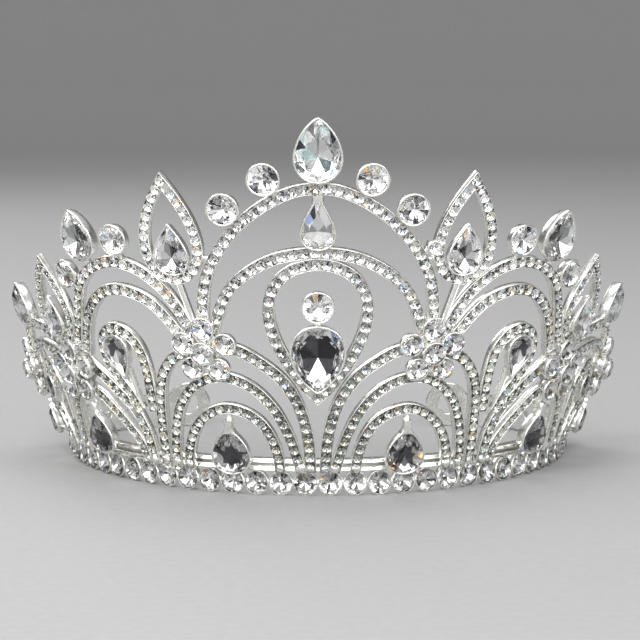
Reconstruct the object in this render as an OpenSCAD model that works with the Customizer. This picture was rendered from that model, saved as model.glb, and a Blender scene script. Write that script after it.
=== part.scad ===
// Bridal crown. A band of large stones stands on the table and carries pierced tracery, which leans
// outwards and falls in height from the middle of the front to the sides. The back is open.
// Lengths are millimetres. A place on the wall is written [angle, height]: the angle in degrees from
// the middle of the front round to the right, and the height above the table. The left side mirrors it.

/* [Band] */
// Radius of the round front, to the face of the wall
front_radius = 70; // [68:1:74]
// Angle at which the round front turns into the tighter ends
front_sweep = 92; // [92:1:95]
// Radius of the tighter ends
end_radius = 33; // [31:1:36]
// Large stones in the band on each side of the middle
band_stones = 23; // [20:1:23]
// Spacing of the large stones
band_pitch = 6.35; // [6.3:0.05:6.5]
// Height of the band
band_height = 9.4; // [9:0.1:10]
// Thickness of the band behind its stones
band_wall = 1.1; // [0.9:0.1:1.2]

/* [Wall] */
// Lean of the wall in front, from upright
front_lean = 13; // [10:1:16]
// Lean of the wall at the sides, from upright
side_lean = 18; // [15:1:20]
// Height of the top of the front stone's setting
crown_height = 96; // [92:1:100]

/* [Tracery] */
// Width of the channels that hold the rows of small stones
channel_width = 3; // [2.8:0.1:3.2]
// Depth of the channels, front to back
channel_depth = 2; // [1.9:0.1:2.6]
// Width of the channels of the leaves and of the lower arches
slim_width = 2.7; // [2.5:0.1:2.9]
// Width of the plain stems that carry the hanging stones
stem_width = 1.5; // [1.2:0.1:1.8]

/* [Settings] */
// Rim of metal round each main stone
rim = 0.45; // [0.4:0.05:0.5]
// Gap between a stone and its setting
clearance = 0.12; // [0.1:0.01:0.15]
// Width of a stone of a flower
petal_width = 5.2; // [4.9:0.1:5.3]
// Distance of the petals from the middle of a flower
petal_reach = 5.8; // [5.7:0.1:6]

/* [Hidden] */
drawn_height = 96;
foot = 6.4;
rise = (crown_height - foot) / (drawn_height - foot);
step = 5.4;
overlap = 0.5;
longest_mitre = 2;
level = 0.15;
stem_sink = 0.6;
stem_depth = 1.4;

// Small numbers of the stones and their settings
round_sides = 8;
drop_sides = 10;
drop_point = 0.6;
sharp_point = 1.1;
crown_share = 0.19;
pavilion_share = 0.24;
table_share = 0.6;
setting_back = 0.9;
setting_lip = 0.35;
setting_taper = 0.8;
gem_proud = 0.6;
petals = 5;
petal_lift = 1.1;
heart_lift = 2.9;
flower_plate = 10.6;
plate_back = 2.9;
plate_front = 0.3;
plate_sink = 0.1;
flat_stone_height = 1.6;
band_stone_width = 5.4;
band_lip = 0.5;
band_seat = 0.15;
eyelet_radius = 6.5;
eyelet_hole = 2.7;
eyelet_thickness = 1.5;
eyelet_sides = 16;

// Arches and legs of the front, from a flower to the middle
big_arch = [[20, 40], [18.6, 53.7], [15.3, 63.3], [10.3, 71.5], [4.6, 76.9], [0, 78.3]];
inner_arch = [[18.5, 40.5], [17.3, 45.1], [14.9, 52.2], [10.9, 57.7], [5.8, 61.4], [0, 62.5]];
front_leg = [[17.5, 38.4], [13.4, 37.3], [8, 32.4], [4.9, 27.4], [2.9, 21.1], [1.8, 14], [1.45, foot]];

// Group below the first flower
lower_arch_1 = [[3.4, foot], [4.2, 10.5], [5.8, 16.8], [8.3, 23.1], [12, 28.2], [16.9, 30.7],
    [22, 28.9], [25.9, 24], [28.1, 17.5], [29.3, 10.5], [29.7, foot]];
low_arch_1 = [[7.5, foot], [7.8, 10.4], [8.8, 15], [10.7, 19.1], [13.6, 21.7], [17.1, 22.7],
    [20.5, 21.2], [23.3, 18.1], [25.2, 14.1], [26.3, 10], [26.7, foot]];

// Second panel, between the first and second flowers
leg_2a = [[22.5, 37], [25.1, 35.9], [27.3, 33.9], [29.6, 29.6], [30.9, 24], [31.7, 16], [32.4, foot]];
leg_2b = [[48, 31.5], [43.8, 27.6], [40.5, 23.8], [37.9, 20.5], [36.4, 16.5], [35.6, 12], [35.4, foot]];
panel_arch_2 = [[21.6, 41], [24.6, 49.7], [27.4, 54.4], [31.1, 57.8], [35.4, 58.9], [39.6, 57.2],
    [43.2, 53.6], [45.4, 48.5], [47, 42.9], [49, 35.5]];
low_panel_arch_2 = [[23.4, 39.5], [27.5, 47.1], [30.5, 50.2], [34.1, 51.7], [37.8, 51.3],
    [41.1, 48.6], [43.6, 44.9], [45.4, 40.4], [47.2, 34]];
loop_2 = [[32.9, 20.5], [32.8, 26.3], [32.8, 31.5], [33.5, 36.8], [35.8, 40.5], [39.1, 41.3],
    [41.8, 38.3], [42, 33.3], [40.2, 28.5], [37.8, 24.2], [36.4, 20.6]];
lower_arch_2 = [[37, foot], [37.8, 11], [40.2, 15.6], [43.3, 19.6], [46.4, 23], [49.8, 24.4],
    [53.2, 23.4], [55.7, 20], [57, 14.6], [57.6, foot]];

// Third panel, between the second and third flowers
leg_3a = [[54.5, 29.5], [58.5, 27], [60.6, 22.5], [61.3, 16], [61.6, foot]];
leg_3b = [[78.5, 23.6], [73.5, 19.6], [69, 15], [66, 11], [65, foot]];
panel_arch_3 = [[53.5, 33], [56.7, 36.4], [61, 38.3], [66.5, 38.9], [72, 37.8], [76.6, 34.6], [79.8, 29.5]];
low_panel_arch_3 = [[54.8, 30.2], [58.3, 32.3], [62.5, 33.3], [67, 33.2], [71.8, 31.8], [75.6, 29], [78.6, 25.5]];
loop_3 = [[62.4, 14], [62.5, 19.5], [63.3, 24.5], [65.6, 27.6], [68.2, 27.6], [70, 24.6],
    [69.4, 19.8], [66.8, 14.8], [65.3, 12]];
lower_arch_3 = [[67, foot], [68.1, 10], [71, 14.3], [74.8, 18], [78.8, 20.2], [82.6, 19.8], [85.5, 16.8],
    [87, 12], [87.4, foot]];
leg_4 = [[84.8, 27], [88, 25.2], [89.8, 20.8], [90.6, 13.8], [90.8, foot]];

// Loops in the shape of a drop. Columns: angle, lower end, upper end, half width in degrees, pointedness
centre_loop = [0, 59.6, 25.8, 8.2, 0.8];
leaves = [
    [23.4, 55.4, 79.8, 4.5, 1],
    [54, 36.8, 56.8, 4.5, 1],
];

// Plain stems. Columns: angle and height of one end, angle and height of the other
stems = [
    [17.1, 16.5, 17.1, 22.2],
    [49.6, 16.5, 49.9, 24],
    [78.2, 13.5, 78.8, 19.8],
    [36.2, 22, 37.2, 30.5],
    [64.9, 12.5, 65.9, 18.2],
    [23.3, 54.9, 21.2, 42],
    [54, 36.5, 52.6, 33.5],
    [7.9, 80, 6.7, 76],
    [14.1, 72.5, 12.4, 69],
    [17.2, 60.4, 19.8, 60.8],
    [23.3, 59, 23.3, 55.5],
    [33.6, 63.5, 33.6, 58],
    [41.8, 61, 40.8, 56.5],
    [46.2, 54, 44.6, 51],
    [54, 40, 54, 37],
    [68.9, 42, 69.2, 38.5],
];

// Plain stems that stand once. Columns as above
middle_stems = [
    [0, 72, 0, 77.5],
    [0, 83, 0, 78],
    [0, 64.5, 0, 61.5],
    [0, 43, 0, 46.5],
    [0, 31, 0, 26.5],
    [17.6, 64.2, 16.6, 60],
];

// Flowers. Columns: number, angle, height
flowers = [
    [1, 19.6, 37.9],
    [2, 51.4, 29],
    [3, 80.4, 24.6],
];

// Stones that stand once. Columns: name, angle, height, width, length, point, turn
front_gems = [
    ["top_drop", 0, 87.6, 11.2, 15.4, drop_point, 0],
    ["hanging_drop", 0, 70.2, 8, 13.2, sharp_point, 0],
    ["centre_round", 0, 49.2, 7.4, 7.4, 0, 0],
    ["centre_drop", 0, 35.6, 13, 16, drop_point, 180],
    ["arch_bead", 18, 63.8, 2.8, 2.8, 0, 0],
];

// Stones of the right side, which the left side mirrors. Columns as above
side_gems = [
    ["arch_round_upper", 7.8, 80.6, 7.4, 7.4, 0, 0],
    ["arch_round_lower", 14.1, 73.2, 7.4, 7.4, 0, 0],
    ["leaf_drop_1", 23.3, 63, 8, 12.4, sharp_point, 0],
    ["lower_drop_1", 17.1, 11.5, 9.6, 11.4, drop_point, 0],
    ["panel_round_front", 33.6, 64.7, 7.4, 7.4, 0, 0],
    ["panel_drop_2", 41.3, 65.2, 10, 13, drop_point, -9],
    ["panel_round_side", 46.4, 54.9, 6.8, 6.8, 0, 0],
    ["loop_drop_2", 38.1, 34.4, 7.2, 11.2, sharp_point, 170],
    ["leaf_drop_2", 54.3, 42.8, 7.4, 10.8, sharp_point, 0],
    ["lower_drop_2", 49.2, 12.4, 9, 10.8, drop_point, -5],
    ["panel_drop_3", 68.5, 43.8, 9, 11.6, drop_point, -8],
    ["loop_drop_3", 66.4, 21.6, 4.6, 7, drop_point, 172],
    ["lower_drop_3", 77.9, 10.4, 5.6, 7.6, drop_point, -4],
];

SIDES = ["right", "left"];

// Places on the wall

function unit(v) = v / norm(v);
function lifted(h) = foot + (h - foot) * rise;

function wall_point(a, h) = [
    (front_radius + h * tan(side_lean)) * sin(a),
    -(front_radius + h * tan(front_lean)) * cos(a),
    h];

function wall_across(a, h) = unit([
    (front_radius + h * tan(side_lean)) * cos(a),
    (front_radius + h * tan(front_lean)) * sin(a),
    0]);

function wall_up(a, h) = let (
    slope = [tan(side_lean) * sin(a), -tan(front_lean) * cos(a), 1],
    across = wall_across(a, h)
) unit(slope - across * (slope * across));

function wall_out(a, h) = cross(wall_across(a, h), wall_up(a, h));

module on_wall(a, height, turn = 0) {
    h = lifted(height);
    p = wall_point(a, h);
    x = wall_across(a, h);
    y = wall_up(a, h);
    z = wall_out(a, h);
    multmatrix([[x[0], y[0], z[0], p[0]], [x[1], y[1], z[1], p[1]], [x[2], y[2], z[2], p[2]], [0, 0, 0, 1]])
        rotate(turn) children();
}

module both_sides() {
    children();
    mirror([1, 0, 0]) children();
}

// Curves through short lists of [angle, height]

function curve_point(p, q, r, s, t) = 0.5 * (2 * q + (r - p) * t + (2 * p - 5 * q + 4 * r - s) * t * t
    + (3 * q - p - 3 * r + s) * t * t * t);

function wall_distance(p, q) = norm(wall_point(p[0], p[1]) - wall_point(q[0], q[1]));

function curve(points) = let (
    last = len(points) - 1,
    ahead = concat([2 * points[0] - points[1]], points, [2 * points[last] - points[last - 1]])
) concat([for (i = [0:last - 1]) let (
    parts = max(1, round(wall_distance(points[i], points[i + 1]) / step))
) for (k = [0:parts - 1]) curve_point(ahead[i], ahead[i + 1], ahead[i + 2], ahead[i + 3], k / parts)], [points[last]]);

function mirrored(half) = concat(half, [for (i = [len(half) - 2:-1:0]) [-half[i][0], half[i][1]]]);

// The outline of a drop: its tip is at t = 0, and a point of 0 makes it round
function drop_peak(point) = let (t = acos(-point / (2 + point))) sin(t) * pow(sin(t / 2), point);
function drop_spot(t, point) = [sin(t) * pow(sin(t / 2), point) / drop_peak(point), cos(t)];

function drop_loop(row, turns = 18) = [for (k = [0:turns]) let (d = drop_spot(k % turns * 360 / turns, row[4]))
    [row[0] + row[3] * d[0], row[1] + (row[2] - row[1]) * (1 + d[1]) / 2]];

// Solids swept along a path

function triangles(rings, size, closed) = [for (i = [0:closed ? rings - 1 : rings - 2]) for (k = [0:size - 1]) let (
    this = i * size,
    next = (i + 1) % rings * size,
    l = (k + 1) % size
) each [[this + k, next + k, next + l], [this + k, next + l, this + l]]];

module sweep(rings, closed = false) {
    size = len(rings[0]);
    end = (len(rings) - 1) * size;
    polyhedron(
        points = [for (ring = rings) each ring],
        faces = concat(
            closed ? [] : [[for (k = [0:size - 1]) k], [for (k = [size - 1:-1:0]) end + k]],
            triangles(len(rings), size, closed)));
}

// A closed path ends where it starts, and its corners are mitred. The sink sets it back into the wall.
module channel(path, width = channel_width, sink = 0, depth = channel_depth) {
    last = len(path) - 1;
    closed = path[0] == path[last];
    spots = [for (p = path) wall_point(p[0], lifted(p[1]))];
    sweep([for (i = [0:closed ? last - 1 : last]) let (
        before = i > 0 ? unit(spots[i] - spots[i - 1]) : unit(spots[closed ? 0 : 1] - spots[closed ? last - 1 : 0]),
        after = i < last ? unit(spots[i + 1] - spots[i]) : before,
        ahead = unit(before + after),
        reach = closed ? 0 : i == 0 ? -overlap : i == last ? overlap : 0,
        p = spots[i] + ahead * reach,
        out = wall_out(path[i][0], lifted(path[i][1])),
        front = -out * sink,
        back = -out * (sink + depth),
        side = unit(cross(out, ahead)) * width / 2 * min(longest_mitre, 1 / (before * ahead))
    ) [p + side + front, p - side + front, p - side + back, p + side + back]], closed);
}

// The band: a round front with tighter ends, measured along its length from the middle

front_length = front_radius * front_sweep * PI / 180;

function band_heading(s) = s < front_length ? s / front_radius * 180 / PI
    : front_sweep + (s - front_length) / end_radius * 180 / PI;

function band_spot(s, out, h) = let (
    heading = band_heading(abs(s)),
    sharp = max(0, sign(abs(s) - front_length)) * (front_radius - end_radius),
    radius = (sharp > 0 ? end_radius : front_radius) + out
) [sign(s) * (sharp * sin(front_sweep) + radius * sin(heading)),
    -sharp * cos(front_sweep) - radius * cos(heading),
    h];

module on_band(s, out, h) {
    translate(band_spot(s, out, h)) rotate([90, 0, sign(s) * band_heading(abs(s))]) children();
}

band_outer = -0.4;
band_face = band_outer - 1.5;
band_inner = band_face - band_wall;
band_stone_height = (foot + band_lip) / 2 - 0.15;
band_segments = band_stones + 2;

band_profile = [
    [band_inner, 0], [band_inner, band_height], [band_outer, band_height],
    [band_outer, foot - band_lip], [band_face, foot - band_lip],
    [band_face, band_lip], [band_outer, band_lip], [band_outer, 0],
];

module band() {
    sweep([for (i = [-band_segments:band_segments])
        [for (p = band_profile) band_spot(i * band_pitch, p[0], p[1])]]);
}

module eyelet() {
    on_band(band_segments * band_pitch + eyelet_hole, band_face - eyelet_thickness / 2, eyelet_radius)
        difference() {
            cylinder(r = eyelet_radius, h = eyelet_thickness, center = true, $fn = eyelet_sides);
            cylinder(r = eyelet_hole, h = 2 * eyelet_thickness, center = true, $fn = round_sides);
        }
}

// Stones and their settings, drawn facing up with the widest outline at height 0

module convex(points) {
    hull() polyhedron(points = points, faces = [[for (i = [0:len(points) - 1]) i]]);
}

// One outline of a stone, drawn in by the share, at a height
function outline(width, length, point, sides, share = 1, z = 0) = let (
    middle = -length / 2 * point / (2 + point)
) [for (i = [0:sides - 1]) let (d = drop_spot((i + (point > 0 ? 0 : 0.5)) * 360 / sides, point))
    [width / 2 * d[0] * share, middle + (length / 2 * d[1] - middle) * share, z]];

function gem_sides(g) = g[5] > 0 ? drop_sides : round_sides;

module cut_stone(g) {
    n = gem_sides(g);
    convex(concat(
        outline(g[3], g[4], g[5], n, table_share, g[3] * crown_share),
        outline(g[3], g[4], g[5], n),
        [[0, -g[4] / 2 * g[5] / (2 + g[5]), -g[3] * pavilion_share]]));
}

module flat_stone(width) {
    convex(concat(
        outline(width, width, 0, round_sides, table_share, flat_stone_height),
        outline(width, width, 0, round_sides)));
}

module setting(g) {
    n = gem_sides(g);
    wide = g[3] + 2 * rim;
    long = g[4] + 2.6 * rim;
    convex(concat(
        outline(wide, long, g[5], n, 1, setting_lip),
        outline(wide, long, g[5], n, setting_taper, -g[3] * pavilion_share - setting_back)));
}

module seat(g) {
    n = gem_sides(g);
    wide = g[3] + 2 * clearance;
    long = g[4] + 2.6 * clearance;
    convex(concat(
        outline(wide, long, g[5], n, 1, setting_lip + 1),
        outline(wide, long, g[5], n, 1, -clearance),
        [[0, -g[4] / 2 * g[5] / (2 + g[5]), -g[3] * pavilion_share - 2 * clearance]]));
}

module place_gem(g) {
    on_wall(g[1], g[2], g[6]) translate([0, 0, gem_proud]) children();
}

// The petals round the heart of a flower, each with its outline turned outwards
module place_petals() {
    for (k = [0:petals - 1]) rotate(k * 360 / petals) translate([0, petal_reach, petal_lift]) children();
}

module place_heart() {
    translate([0, 0, heart_lift]) children();
}

module petal_cup(drop) {
    wide = petal_width + rim;
    convex(concat(
        outline(wide, wide, 0, round_sides, 1, -clearance),
        outline(wide, wide, 0, round_sides, 0.9, -drop)));
}

module flower(row) {
    on_wall(row[1], row[2]) {
        convex(concat(
            outline(flower_plate, flower_plate, 0, drop_sides, 1, plate_front),
            outline(flower_plate, flower_plate, 0, drop_sides, 1, -plate_back)));
        place_petals() petal_cup(petal_lift - plate_sink);
        place_heart() petal_cup(heart_lift - plate_sink);
    }
}

module stem(row) {
    channel([[row[0], row[1]], [row[2], row[3]]], stem_width, stem_sink, stem_depth);
}

module tracery() {
    channel(curve(mirrored(big_arch)));
    channel(curve(mirrored(inner_arch)), sink = level);
    channel(drop_loop(centre_loop, 24), sink = 2 * level);
    both_sides() {
        for (path = [panel_arch_2, panel_arch_3]) channel(curve(path));
        for (path = [low_panel_arch_2, low_panel_arch_3]) channel(curve(path), sink = level);
        for (path = [loop_2, loop_3, front_leg, leg_2b, leg_3b]) channel(curve(path), sink = 2 * level);
        for (path = [leg_2a, leg_3a, leg_4]) channel(curve(path), sink = 3 * level);
        for (path = [lower_arch_1, lower_arch_2, lower_arch_3]) channel(curve(path), slim_width, level);
        channel(curve(low_arch_1), slim_width);
        for (row = leaves) channel(drop_loop(row), slim_width, -level);
        for (row = stems) stem(row);
    }
    for (row = middle_stems) stem(row);
}

module frame() {
    color("silver") difference() {
        union() {
            band();
            tracery();
            both_sides() eyelet();
            for (g = front_gems) place_gem(g) setting(g);
            both_sides() {
                for (g = side_gems) place_gem(g) setting(g);
                for (row = flowers) flower(row);
            }
        }
        for (g = front_gems) place_gem(g) seat(g);
        both_sides() for (g = side_gems) place_gem(g) seat(g);
    }
}

module band_stones() {
    color("aliceblue") for (i = [0:band_stones - 1]) both_sides()
        on_band((i + 0.5) * band_pitch, band_face + band_seat, band_stone_height) flat_stone(band_stone_width);
}

module gem(g) {
    color("aliceblue") place_gem(g) cut_stone(g);
}

module flower_stones(row) {
    color("aliceblue") on_wall(row[1], row[2]) {
        place_petals() flat_stone(petal_width - 2 * clearance);
        place_heart() flat_stone(petal_width);
    }
}

module on_side(side) {
    mirror([side == "left" ? 1 : 0, 0, 0]) children();
}

frame();
band_stones();
for (g = front_gems)
    gem(g);
for (g = side_gems) for (side = SIDES)
    on_side(side) gem(g);
for (f = flowers) for (side = SIDES)
    on_side(side) flower_stones(f);
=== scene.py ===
# %% [markdown]
# # A bridal crown
# The real crown is a pierced silver-plated casting set with glass stones: rows of tiny stones in thin
# channels, drops and rounds in cups of their own, and a band of larger stones round the foot.
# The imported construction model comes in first, as a fixed frame. Every piece below is built in the place of
# the plain solid that it stands for, so nothing has to be fitted by eye.

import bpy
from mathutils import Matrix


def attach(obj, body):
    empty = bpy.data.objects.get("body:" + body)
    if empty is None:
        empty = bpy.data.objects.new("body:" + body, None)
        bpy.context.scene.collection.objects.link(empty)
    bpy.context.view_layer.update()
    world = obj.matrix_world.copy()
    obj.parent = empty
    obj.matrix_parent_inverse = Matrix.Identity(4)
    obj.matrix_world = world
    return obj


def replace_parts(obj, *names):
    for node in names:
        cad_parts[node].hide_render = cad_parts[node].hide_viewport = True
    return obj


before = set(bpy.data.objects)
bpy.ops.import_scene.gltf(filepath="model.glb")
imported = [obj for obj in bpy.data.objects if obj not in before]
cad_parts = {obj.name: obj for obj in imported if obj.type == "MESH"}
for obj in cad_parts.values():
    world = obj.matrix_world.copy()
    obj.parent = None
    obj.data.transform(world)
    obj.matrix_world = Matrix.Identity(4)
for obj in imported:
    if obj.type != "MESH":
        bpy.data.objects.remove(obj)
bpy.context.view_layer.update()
print("construction nodes:", len(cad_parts))

# %% [markdown]
# ## Modules
# bpy makes the objects and finishes, and bmesh turns all faces of a mesh outwards. The curves are worked
# out with numpy, because a sum over a whole array of points is shorter than a loop over them.

# %% Modules
import math
import bmesh
import bpy
import numpy as np
from mathutils import Vector

print("Blender", bpy.app.version_string)

# %% [markdown]
# ## Camera
# The photograph looks straight at the front from a little above. A long lens at 0.6 m keeps the sides from
# spreading, as they don't there. An empty could serve as a target to look at, but the direction from the
# camera to the point it looks at gives the rotation at once. The tiny shift moves the picture two pixels.

# %% Camera at the photograph's angle


def turn_towards(thing, target):
    thing.rotation_euler = (Vector(target) - thing.location).to_track_quat("-Z", "Y").to_euler()


camera_data = bpy.data.cameras.new("camera")
camera_data.lens = 120.2
camera_data.shift_x = 0.003125
camera_data.clip_start = 0.01
camera = bpy.data.objects.new("camera", camera_data)
camera.location = (0, -0.59514, 0.11194)
turn_towards(camera, (0, 0, 0.0357))
bpy.context.collection.objects.link(camera)
bpy.context.scene.camera = camera
print("camera", tuple(round(v, 4) for v in camera.location))

# %% [markdown]
# ## A tray for small parts
# A crown has thousands of small faces. An operator call for each stone would be slow, so corners and faces
# are collected in a tray, as a jeweller does with loose stones, and poured into one mesh. Each face keeps
# two extras: its finish, and a painted glint for the foil behind the stones, a colour that stands in for the
# light or dark that the foil reflects. Lengths on the tray are millimetres.

# %% Tray
MM = 0.001
PLAIN = (1, 1, 1)


class Tray:
    def __init__(self):
        self.corners, self.faces, self.finish, self.painted_glint = [], [], [], []

    def add(self, corners, faces, finish, painted_glint=None):
        base = len(self.corners)
        self.corners.extend(corners)
        self.faces.extend([base + i for i in face] for face in faces)
        self.finish.extend(finish)
        self.painted_glint.extend(painted_glint or [PLAIN] * len(faces))

    def pour(self, name, finishes, slot, soft_angle=None):
        mesh = bpy.data.meshes.new(name)
        mesh.from_pydata((np.array(self.corners) * MM).tolist(), [], self.faces)
        mesh.polygons.foreach_set("material_index", self.finish)
        # Painted glints: this colour attribute paints the light and dark that each foil facet reflects.
        painted_glint = mesh.color_attributes.new("painted_glint", "FLOAT_COLOR", "CORNER")
        colours = [(*self.painted_glint[p.index], 1) for p in mesh.polygons for _ in range(p.loop_total)]
        painted_glint.data.foreach_set("color", np.array(colours).ravel())
        work = bmesh.new()
        work.from_mesh(mesh)
        bmesh.ops.recalc_face_normals(work, faces=work.faces)
        work.to_mesh(mesh)
        work.free()
        for finish in finishes:
            mesh.materials.append(finish)
        if soft_angle:
            mesh.polygons.foreach_set("use_smooth", [True] * len(mesh.polygons))
            mesh.set_sharp_from_angle(angle=math.radians(soft_angle))
        piece = bpy.data.objects.new(name, mesh)
        bpy.context.collection.objects.link(piece)
        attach(piece, "root")
        print(name, "has", len(mesh.polygons), "faces")
        return piece


print("one millimetre is", MM, "m in Blender")

# %% [markdown]
# ## The wall that the tracery follows
# The crown bends round the head and leans outwards, at the sides more than in front. It could be modelled
# flat and bent with a modifier, but that would bend the stones as well. So a place is written [angle,
# height], in degrees and millimetres, and three directions are worked out there: across, up and out.

# %% Places on the wall
FRONT_RADIUS = 70.0
FRONT_LEAN, SIDE_LEAN = math.tan(math.radians(13)), math.tan(math.radians(18))


def unit(v):
    return v / np.linalg.norm(v)


def radii(h):
    return FRONT_RADIUS + h * SIDE_LEAN, FRONT_RADIUS + h * FRONT_LEAN


def wall_point(a, h):
    a, (aside, ahead) = math.radians(a), radii(h)
    return np.array([aside * math.sin(a), -ahead * math.cos(a), h])


def wall_axes(a, h):
    a, (aside, ahead) = math.radians(a), radii(h)
    across = unit(np.array([aside * math.cos(a), ahead * math.sin(a), 0]))
    slope = np.array([SIDE_LEAN * math.sin(a), -FRONT_LEAN * math.cos(a), 1])
    up = unit(slope - across * slope.dot(across))
    return across, up, np.cross(across, up)


print("top of the front:", wall_point(0, 96).round(1))

# %% [markdown]
# ## Stands
# A stand is an origin and three axes. A part is drawn flat, facing up, and then set on its stand, so that
# every stone can share the same few lines. The left side of the crown mirrors the right, and mirroring the
# stand is all that this takes.

# %% Stands on the wall


def stand_on_wall(a, h, turn=0, lift=0):
    across, up, out = wall_axes(a, h)
    c, s = math.cos(math.radians(turn)), math.sin(math.radians(turn))
    return wall_point(a, h) + out * lift, across * c + up * s, up * c - across * s, out


def lifted(stand, lift):
    return stand[0] + stand[3] * lift, *stand[1:]


def both_sides(stand):
    return {"right": stand, "left": tuple(v * (-1, 1, 1) for v in stand)}


def on(stand, corners):
    c = np.asarray(corners, float)
    return list(stand[0] + c[:, :1] * stand[1] + c[:, 1:2] * stand[2] + c[:, 2:3] * stand[3])


print("out, at the foot of the front:", stand_on_wall(0, 0)[3].round(2))

# %% [markdown]
# ## Curves
# Each arch is drawn by a few points. A Catmull-Rom curve passes through all of them, which makes it easier
# to copy a drawing with than a Bezier curve and its handles. The curve is then cut into even lengths, because
# the small stones sit at an even pitch.

# %% Curves through a few points


def curve(points, cuts=20):
    p = np.array(points, float)
    p = np.vstack([2 * p[0] - p[1], p, 2 * p[-1] - p[-2]])
    t = np.linspace(0, 1, cuts, endpoint=False)[:, None]
    parts = [0.5 * (2 * q + (r - o) * t + (2 * o - 5 * q + 4 * r - s) * t**2 + (3 * q - o - 3 * r + s) * t**3)
             for o, q, r, s in zip(p, p[1:], p[2:], p[3:])]
    return np.vstack(parts + [p[-2]])


def mirrored(half):
    return half + [[-a, h] for a, h in half[-2::-1]]


def even_cuts(path, spacing):
    spots = np.array([wall_point(a, h) for a, h in path])
    run = np.concatenate([[0], np.cumsum(np.linalg.norm(np.diff(spots, axis=0), axis=1))])
    count = max(2, round(run[-1] / spacing))
    at = np.linspace(0, run[-1], count + 1)
    return np.stack([np.interp(at, run, path[:, 0]), np.interp(at, run, path[:, 1])], axis=1)


print("cuts in a curve through three points:", len(curve([[0, 0], [1, 1], [2, 0]])))

# %% [markdown]
# ## The shape of a drop
# Drop stones, their cups and the drop-shaped loops share one outline. It could be joined from arcs, but a
# formula gives any number of corners. At t = 0 it has its tip. The value called point sets how sharp the tip
# is and how low the widest place lies, and 0 makes a circle or an ellipse.

# %% Outline of a drop


def drop_spot(t, point):
    peak = math.acos(-point / (2 + point))
    widest = math.sin(peak) * math.sin(peak / 2) ** point
    return math.sin(t) * abs(math.sin(t / 2)) ** point / widest, math.cos(t)


def widest_at(length, point):
    return -length / 2 * point / (2 + point)


def drop_loop(angle, round_end, tip, half_width, point, cuts=160):
    spots = [drop_spot(k * math.tau / cuts, point) for k in range(cuts + 1)]
    return np.array([[angle + half_width * x, round_end + (tip - round_end) * (1 + y) / 2] for x, y in spots])


def circle(radius, count, z, start=0.0):
    turns = [k * math.tau / count + start for k in range(count)]
    return [(radius * math.cos(t), radius * math.sin(t), z) for t in turns]


print("a drop of 15 mm is widest", round(widest_at(15, 0.6), 1), "mm from its middle")

# %% [markdown]
# ## Lines of the tracery
# Each row of small stones is one line on the wall. They could be curves drawn by hand, but as lists they
# stay the lines of the construction model: arches over the front, legs down to the band, and two panels of
# loops and arches at each side. The middle loop and the leaves are drops, written as angle, round end, tip,
# half the width in degrees, and point.

# %% Arches and legs
FOOT = 6.4
BIG_ARCH = [[20, 40], [18.6, 53.7], [15.3, 63.3], [10.3, 71.5], [4.6, 76.9], [0, 78.3]]
INNER_ARCH = [[18.5, 40.5], [17.3, 45.1], [14.9, 52.2], [10.9, 57.7], [5.8, 61.4], [0, 62.5]]
FRONT_LEG = [[17.5, 38.4], [13.4, 37.3], [8, 32.4], [4.9, 27.4], [2.9, 21.1], [1.8, 14], [1.45, FOOT]]
LOWER_ARCH_1 = [[3.4, FOOT], [4.2, 10.5], [5.8, 16.8], [8.3, 23.1], [12, 28.2], [16.9, 30.7],
                [22, 28.9], [25.9, 24], [28.1, 17.5], [29.3, 10.5], [29.7, FOOT]]
LOW_ARCH_1 = [[7.5, FOOT], [7.8, 10.4], [8.8, 15], [10.7, 19.1], [13.6, 21.7], [17.1, 22.7],
              [20.5, 21.2], [23.3, 18.1], [25.2, 14.1], [26.3, 10], [26.7, FOOT]]
LEG_2A = [[22.5, 37], [25.1, 35.9], [27.3, 33.9], [29.6, 29.6], [30.9, 24], [31.7, 16], [32.4, FOOT]]
LEG_2B = [[48, 31.5], [43.8, 27.6], [40.5, 23.8], [37.9, 20.5], [36.4, 16.5], [35.6, 12], [35.4, FOOT]]
PANEL_ARCH_2 = [[21.6, 41], [24.6, 49.7], [27.4, 54.4], [31.1, 57.8], [35.4, 58.9], [39.6, 57.2],
                [43.2, 53.6], [45.4, 48.5], [47, 42.9], [49, 35.5]]
LOW_PANEL_ARCH_2 = [[23.4, 39.5], [27.5, 47.1], [30.5, 50.2], [34.1, 51.7], [37.8, 51.3],
                    [41.1, 48.6], [43.6, 44.9], [45.4, 40.4], [47.2, 34]]
LOOP_2 = [[32.9, 20.5], [32.8, 26.3], [32.8, 31.5], [33.5, 36.8], [35.8, 40.5], [39.1, 41.3],
          [41.8, 38.3], [42, 33.3], [40.2, 28.5], [37.8, 24.2], [36.4, 20.6]]
LOWER_ARCH_2 = [[37, FOOT], [37.8, 11], [40.2, 15.6], [43.3, 19.6], [46.4, 23], [49.8, 24.4],
                [53.2, 23.4], [55.7, 20], [57, 14.6], [57.6, FOOT]]
LEG_3A = [[54.5, 29.5], [58.5, 27], [60.6, 22.5], [61.3, 16], [61.6, FOOT]]
LEG_3B = [[78.5, 23.6], [73.5, 19.6], [69, 15], [66, 11], [65, FOOT]]
PANEL_ARCH_3 = [[53.5, 33], [56.7, 36.4], [61, 38.3], [66.5, 38.9], [72, 37.8], [76.6, 34.6], [79.8, 29.5]]
LOW_PANEL_ARCH_3 = [[54.8, 30.2], [58.3, 32.3], [62.5, 33.3], [67, 33.2], [71.8, 31.8], [75.6, 29],
                    [78.6, 25.5]]
LOOP_3 = [[62.4, 14], [62.5, 19.5], [63.3, 24.5], [65.6, 27.6], [68.2, 27.6], [70, 24.6],
          [69.4, 19.8], [66.8, 14.8], [65.3, 12]]
LOWER_ARCH_3 = [[67, FOOT], [68.1, 10], [71, 14.3], [74.8, 18], [78.8, 20.2], [82.6, 19.8], [85.5, 16.8],
                [87, 12], [87.4, FOOT]]
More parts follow.
